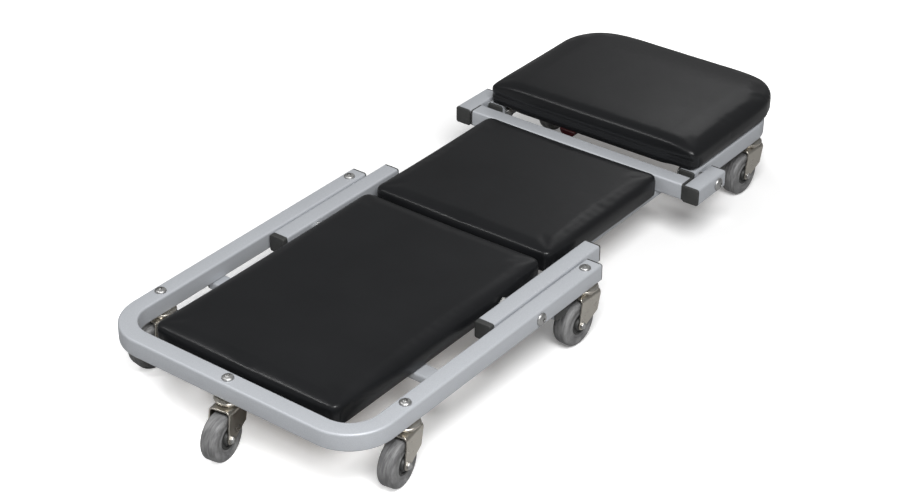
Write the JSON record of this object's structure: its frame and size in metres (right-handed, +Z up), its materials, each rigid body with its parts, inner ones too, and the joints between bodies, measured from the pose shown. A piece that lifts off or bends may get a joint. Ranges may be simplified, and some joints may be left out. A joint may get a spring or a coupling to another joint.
{
  "type": "folding mechanic creeper",
  "caption": "Low rolling creeper of square tube with vinyl pads on swivel casters; its middle and head sections hinge up and over the base to make a seat.",
  "frame": {"origin": "on the floor under the middle of the overall length and width, laid flat", "axes": "+Y along the length from foot to head, +X to the right seen from the foot, +Z up"},
  "size_m": [0.4478, 1.0994, 0.1453],
  "materials": {
    "silver_paint": "silver-grey satin powder coat",
    "cap_plastic": "matte black moulded plastic",
    "vinyl": "black satin vinyl over foam",
    "plywood": "bare plywood",
    "zinc": "zinc-plated steel",
    "nickel": "bright plated pressed steel",
    "hub_plastic": "black moulded nylon",
    "grey_tyre": "grey moulded tread",
    "red_plastic": "dark red moulded grip"
  },
  "bodies": {
    "base": {"base_frame": "silver_paint", "base_cross_member": "silver_paint", "fold_stop_bar": "silver_paint", "left_arm_cap": "cap_plastic", "right_arm_cap": "cap_plastic", "foot_pad_board": "plywood", "foot_pad_cushion": "vinyl", "rail_stem": "zinc", "front_left_stem": "zinc", "front_right_stem": "zinc", "rear_left_stem": "zinc", "rear_right_stem": "zinc", "left_base_hinge_bolt": "zinc", "right_base_hinge_bolt": "zinc"},
    "middle": {"left_lift_tube": "silver_paint", "right_lift_tube": "silver_paint", "left_lift_cap": "cap_plastic", "right_lift_cap": "cap_plastic", "left_hinge_tube": "silver_paint", "right_hinge_tube": "silver_paint", "left_hinge_cap": "cap_plastic", "right_hinge_cap": "cap_plastic", "left_middle_rail": "silver_paint", "right_middle_rail": "silver_paint", "middle_front_bar": "silver_paint", "middle_cross_tube": "silver_paint", "middle_pad_board": "plywood", "middle_pad_cushion": "vinyl", "left_head_hinge_bolt": "zinc", "right_head_hinge_bolt": "zinc"},
    "head": {"head_frame": "silver_paint", "left_head_cap": "cap_plastic", "right_head_cap": "cap_plastic", "head_cross_bar": "silver_paint", "head_pad_board": "plywood", "head_pad_cushion": "vinyl", "head_left_stem": "zinc", "head_right_stem": "zinc", "pull_grip": "red_plastic"},
    "rail_swivel_body": {"rail_fork": "nickel"},
    "rail_wheel": {"rail_hub": "hub_plastic", "rail_tyre": "grey_tyre"},
    "front_left_swivel_body": {"front_left_fork": "nickel"},
    "front_left_wheel": {"front_left_hub": "hub_plastic", "front_left_tyre": "grey_tyre"},
    "front_right_swivel_body": {"front_right_fork": "nickel"},
    "front_right_wheel": {"front_right_hub": "hub_plastic", "front_right_tyre": "grey_tyre"},
    "rear_left_swivel_body": {"rear_left_fork": "nickel"},
    "rear_left_wheel": {"rear_left_hub": "hub_plastic", "rear_left_tyre": "grey_tyre"},
    "rear_right_swivel_body": {"rear_right_fork": "nickel"},
    "rear_right_wheel": {"rear_right_hub": "hub_plastic", "rear_right_tyre": "grey_tyre"},
    "head_left_swivel_body": {"head_left_fork": "nickel"},
    "head_left_wheel": {"head_left_hub": "hub_plastic", "head_left_tyre": "grey_tyre"},
    "head_right_swivel_body": {"head_right_fork": "nickel"},
    "head_right_wheel": {"head_right_hub": "hub_plastic", "head_right_tyre": "grey_tyre"}
  },
  "joints": [
    {"name": "middle_fold", "type": "hinge", "parent": "base", "child": "middle", "pos_m": [0, -0.14827, 0.09105], "axis": [1, 0, 0], "range_deg": [0, 130]},
    {"name": "head_fold", "type": "hinge", "parent": "middle", "child": "head", "pos_m": [0, 0.28613, 0.09105], "axis": [1, 0, 0], "range_deg": [-130, 0]},
    {"name": "rail_swivel", "type": "hinge", "parent": "base", "child": "rail_swivel_body", "pos_m": [0, -0.49638, 0.0747], "axis": [0, 0, 1], "continuous": true},
    {"name": "rail_roll", "type": "hinge", "parent": "rail_swivel_body", "child": "rail_wheel", "pos_m": [0.00336, -0.51761, 0.03175], "axis": [0.9877, 0.1564, 0], "continuous": true},
    {"name": "front_left_swivel", "type": "hinge", "parent": "base", "child": "front_left_swivel_body", "pos_m": [-0.2, -0.40687, 0.0747], "axis": [0, 0, 1], "continuous": true},
    {"name": "front_left_roll", "type": "hinge", "parent": "front_left_swivel_body", "child": "front_left_wheel", "pos_m": [-0.20336, -0.42811, 0.03175], "axis": [0.9877, -0.1564, 0], "continuous": true},
    {"name": "front_right_swivel", "type": "hinge", "parent": "base", "child": "front_right_swivel_body", "pos_m": [0.2, -0.40687, 0.0747], "axis": [0, 0, 1], "continuous": true},
    {"name": "front_right_roll", "type": "hinge", "parent": "front_right_swivel_body", "child": "front_right_wheel", "pos_m": [0.20336, -0.42811, 0.03175], "axis": [0.9877, 0.1564, 0], "continuous": true},
    {"name": "rear_left_swivel", "type": "hinge", "parent": "base", "child": "rear_left_swivel_body", "pos_m": [-0.2, -0.03138, 0.0747], "axis": [0, 0, 1], "continuous": true},
    {"name": "rear_left_roll", "type": "hinge", "parent": "rear_left_swivel_body", "child": "rear_left_wheel", "pos_m": [-0.19887, -0.05285, 0.03175], "axis": [0.9986, 0.0523, 0], "continuous": true},
    {"name": "rear_right_swivel", "type": "hinge", "parent": "base", "child": "rear_right_swivel_body", "pos_m": [0.2, -0.03138, 0.0747], "axis": [0, 0, 1], "continuous": true},
    {"name": "rear_right_roll", "type": "hinge", "parent": "rear_right_swivel_body", "child": "rear_right_wheel", "pos_m": [0.19887, -0.05285, 0.03175], "axis": [0.9986, -0.0523, 0], "continuous": true},
    {"name": "head_left_swivel", "type": "hinge", "parent": "head", "child": "head_left_swivel_body", "pos_m": [-0.168, 0.45012, 0.0747], "axis": [0, 0, 1], "continuous": true},
    {"name": "head_left_roll", "type": "hinge", "parent": "head_left_swivel_body", "child": "head_left_wheel", "pos_m": [-0.16687, 0.42865, 0.03175], "axis": [0.9986, 0.0523, 0], "continuous": true},
    {"name": "head_right_swivel", "type": "hinge", "parent": "head", "child": "head_right_swivel_body", "pos_m": [0.168, 0.45012, 0.0747], "axis": [0, 0, 1], "continuous": true},
    {"name": "head_right_roll", "type": "hinge", "parent": "head_right_swivel_body", "child": "head_right_wheel", "pos_m": [0.16687, 0.42865, 0.03175], "axis": [0.9986, -0.0523, 0], "continuous": true}
  ],
  "couplings": [
    {"joint": "head_fold", "follows": "middle_fold", "ratio": -1}
  ]
}
